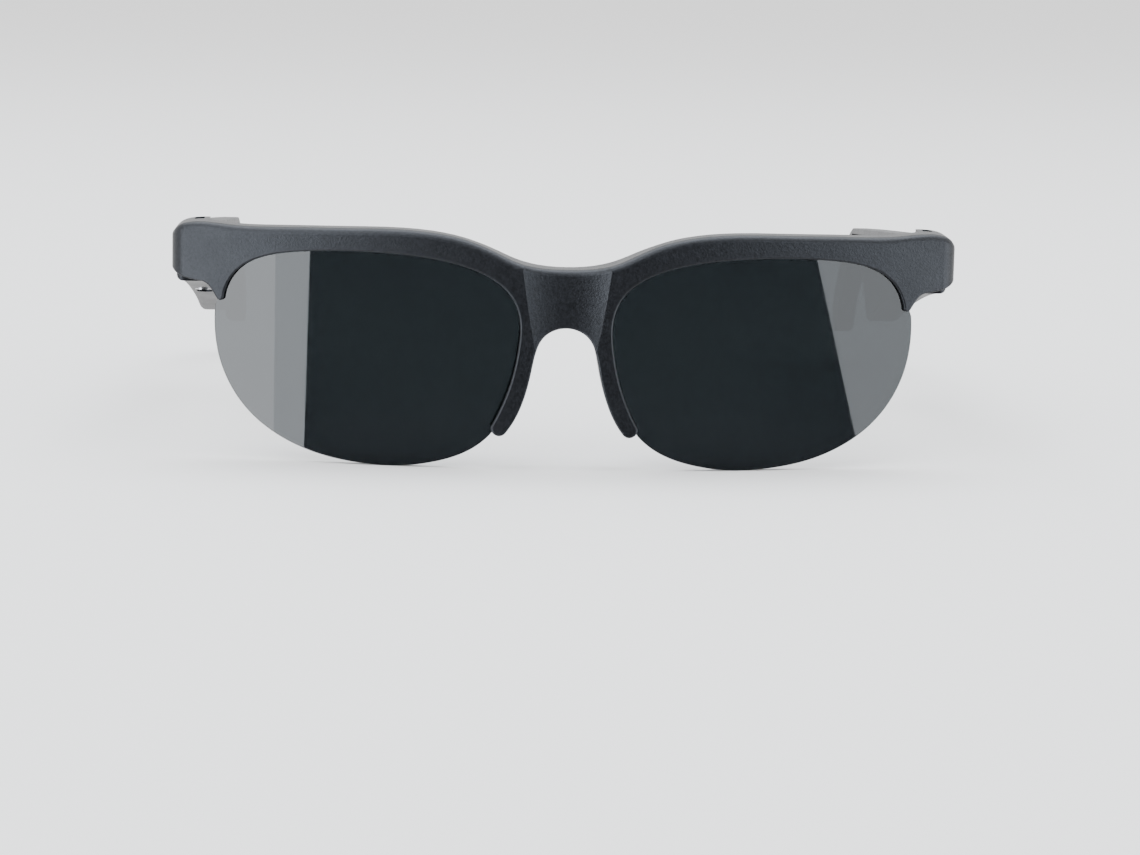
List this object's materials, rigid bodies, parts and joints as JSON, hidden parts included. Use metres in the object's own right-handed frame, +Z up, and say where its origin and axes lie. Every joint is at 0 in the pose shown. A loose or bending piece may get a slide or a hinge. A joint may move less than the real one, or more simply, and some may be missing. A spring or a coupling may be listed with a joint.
{
  "type": "audio sunglasses",
  "caption": "Half-rim audio sunglasses: charcoal brow bar, dark lenses, folding temples that hold battery, speaker and board.",
  "frame": {"origin": "on the plane the lens bottoms lie in, under the middle of the whole object with its temples open", "axes": "+X to the wearer's left, +Y from the lenses back along the open temples, +Z up; the lenses face -Y"},
  "size_m": [0.1464, 0.1536, 0.0439],
  "materials": {
    "frame_plastic": "fine-grained matte",
    "cover_plastic": "fine-grained matte",
    "button_plastic": "satin",
    "tinted_lens": "polished, dark grey tint",
    "hinge_steel": "satin",
    "screw_steel": "satin",
    "battery_foil": "foil",
    "board_laminate": "solder mask",
    "chip_epoxy": "moulded",
    "switch_metal": "stamped",
    "microphone_can": "plated",
    "socket_metal": "drawn",
    "light_guide": "polished",
    "antenna_copper": "bare foil",
    "speaker_case": "moulded",
    "gasket_foam": "foam",
    "grille_steel": "blackened",
    "lead_red": "insulated",
    "lead_black": "insulated"
  },
  "bodies": {
    "front": {"front_frame": "frame_plastic", "right_lens": "tinted_lens", "right_hinge_front_leaf": "hinge_steel", "right_hinge_pin": "screw_steel", "left_lens": "tinted_lens", "left_hinge_front_leaf": "hinge_steel", "left_hinge_pin": "screw_steel"},
    "right_temple": {"right_temple_shell": "frame_plastic", "right_temple_cover": "cover_plastic", "right_hinge_rear_leaf": "hinge_steel", "right_leaf_screws": "screw_steel", "right_battery": "battery_foil", "right_circuit_board": "board_laminate", "right_wireless_chip": "chip_epoxy", "right_tact_switch": "switch_metal", "right_microphone": "microphone_can", "right_charging_socket": "socket_metal", "right_light_guide": "light_guide", "right_antenna": "antenna_copper", "right_speaker": "speaker_case", "right_speaker_gasket": "gasket_foam", "right_speaker_grille": "grille_steel", "right_battery_leads": "lead_red", "right_speaker_leads": "lead_black"},
    "left_temple": {"left_temple_shell": "frame_plastic", "left_temple_cover": "cover_plastic", "left_hinge_rear_leaf": "hinge_steel", "left_leaf_screws": "screw_steel", "left_battery": "battery_foil", "left_circuit_board": "board_laminate", "left_wireless_chip": "chip_epoxy", "left_tact_switch": "switch_metal", "left_microphone": "microphone_can", "left_charging_socket": "socket_metal", "left_light_guide": "light_guide", "left_antenna": "antenna_copper", "left_speaker": "speaker_case", "left_speaker_gasket": "gasket_foam", "left_speaker_grille": "grille_steel", "left_battery_leads": "lead_red", "left_speaker_leads": "lead_black"},
    "right_key": {"right_button": "button_plastic"},
    "left_key": {"left_button": "button_plastic"}
  },
  "joints": [
    {"name": "right_fold", "type": "hinge", "parent": "front", "child": "right_temple", "pos_m": [-0.0662, -0.057, 0.03757], "axis": [0, 0, -1], "range_deg": [0, 93]},
    {"name": "left_fold", "type": "hinge", "parent": "front", "child": "left_temple", "pos_m": [0.0662, -0.057, 0.03757], "axis": [0, 0, 1], "range_deg": [0, 87]},
    {"name": "right_press", "type": "slide", "parent": "right_temple", "child": "right_key", "axis": [1, 0, 0], "range_m": [0, 0.00025], "stiffness_N_per_m": 600},
    {"name": "left_press", "type": "slide", "parent": "left_temple", "child": "left_key", "axis": [-1, 0, 0], "range_m": [0, 0.00025], "stiffness_N_per_m": 600}
  ]
}
